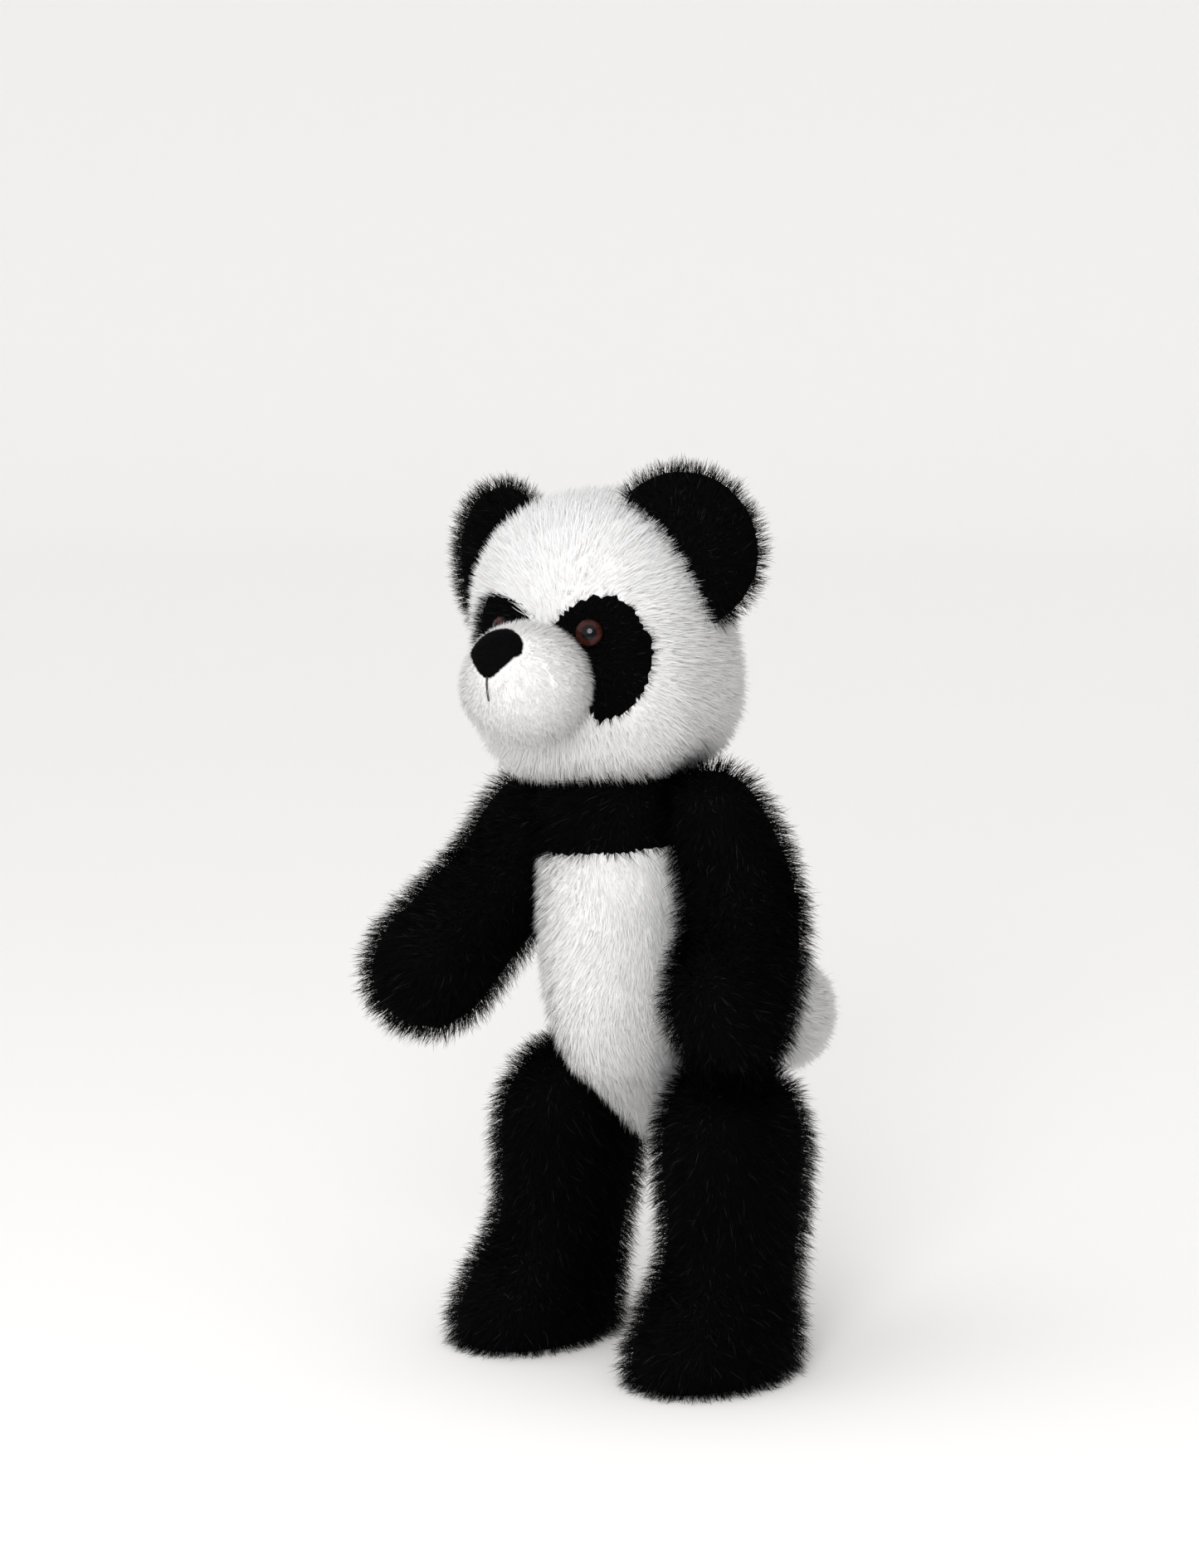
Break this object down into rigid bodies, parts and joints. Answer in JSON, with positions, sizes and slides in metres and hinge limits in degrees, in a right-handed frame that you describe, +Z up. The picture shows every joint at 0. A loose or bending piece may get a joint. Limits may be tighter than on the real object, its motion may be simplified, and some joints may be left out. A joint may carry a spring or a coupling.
{
  "type": "plush panda",
  "caption": "Standing plush panda, jointed at neck, shoulders and hips with hidden bolted discs, with long black and white pile, domed eyes and flat-soled feet.",
  "frame": {"origin": "bottom centre of the whole panda's bounding box, on the surface it stands on", "axes": "+Z up, -Y the way the face looks, +X the panda's left side"},
  "size_m": [0.2086, 0.2446, 0.4258],
  "materials": {
    "white_plush": "long white pile",
    "black_plush": "long black pile",
    "sole_plush": "short black pile",
    "stuffing": "loose polyester wadding",
    "hardboard": "pressed board",
    "zinc_steel": "zinc plated",
    "eye_plastic": "clear domed, dark brown behind",
    "white_plastic": "moulded",
    "nose_plush": "short black pile",
    "thread": "waxed thread"
  },
  "bodies": {
    "torso": {"yoke_skin": "black_plush", "belly_skin": "white_plush", "torso_stuffing": "stuffing", "tail": "white_plush", "neck_body_disc": "hardboard", "neck_body_washer": "zinc_steel", "neck_bolt": "zinc_steel", "neck_nut": "zinc_steel", "shoulder_left_body_disc": "hardboard", "shoulder_left_body_washer": "zinc_steel", "shoulder_left_bolt": "zinc_steel", "shoulder_left_nut": "zinc_steel", "shoulder_right_body_disc": "hardboard", "shoulder_right_body_washer": "zinc_steel", "shoulder_right_bolt": "zinc_steel", "shoulder_right_nut": "zinc_steel", "hip_left_body_disc": "hardboard", "hip_left_body_washer": "zinc_steel", "hip_left_bolt": "zinc_steel", "hip_left_nut": "zinc_steel", "hip_right_body_disc": "hardboard", "hip_right_body_washer": "zinc_steel", "hip_right_bolt": "zinc_steel", "hip_right_nut": "zinc_steel"},
    "head": {"head_skin": "white_plush", "head_stuffing": "stuffing", "eye_patch_left": "black_plush", "eye_patch_right": "black_plush", "muzzle_skin": "white_plush", "nose": "nose_plush", "mouth_thread": "thread", "eye_left": "eye_plastic", "eye_right": "eye_plastic", "eye_washer_left": "white_plastic", "eye_washer_right": "white_plastic", "ear_left": "black_plush", "ear_right": "black_plush", "neck_limb_disc": "hardboard", "neck_limb_washer": "zinc_steel"},
    "arm_left": {"arm_skin_left": "black_plush", "arm_stuffing_left": "stuffing", "shoulder_left_limb_disc": "hardboard", "shoulder_left_limb_washer": "zinc_steel"},
    "leg_left": {"leg_skin_left": "black_plush", "leg_stuffing_left": "stuffing", "sole_left": "sole_plush", "insole_left": "hardboard", "hip_left_limb_disc": "hardboard", "hip_left_limb_washer": "zinc_steel"},
    "arm_right": {"arm_skin_right": "black_plush", "arm_stuffing_right": "stuffing", "shoulder_right_limb_disc": "hardboard", "shoulder_right_limb_washer": "zinc_steel"},
    "leg_right": {"leg_skin_right": "black_plush", "leg_stuffing_right": "stuffing", "sole_right": "sole_plush", "insole_right": "hardboard", "hip_right_limb_disc": "hardboard", "hip_right_limb_washer": "zinc_steel"}
  },
  "joints": [
    {"name": "neck_turn", "type": "hinge", "parent": "torso", "child": "head", "pos_m": [-0.00841, -0.02262, 0.28332], "axis": [-0.1132, 0, 0.9936], "continuous": true},
    {"name": "shoulder_left_swing", "type": "hinge", "parent": "torso", "child": "arm_left", "pos_m": [0.03075, -0.02362, 0.2603], "axis": [-0.9936, 0, -0.1132], "range_deg": [-45, 105]},
    {"name": "shoulder_right_swing", "type": "hinge", "parent": "torso", "child": "arm_right", "pos_m": [-0.04139, -0.02362, 0.25208], "axis": [-0.9936, 0, -0.1132], "range_deg": [-76, 80]},
    {"name": "hip_left_swing", "type": "hinge", "parent": "torso", "child": "leg_left", "pos_m": [0.02289, -0.00562, 0.124], "axis": [-1, 0, 0], "range_deg": [-35, 60]},
    {"name": "hip_right_swing", "type": "hinge", "parent": "torso", "child": "leg_right", "pos_m": [-0.01971, -0.00562, 0.124], "axis": [-1, 0, 0], "range_deg": [-35, 60]}
  ]
}
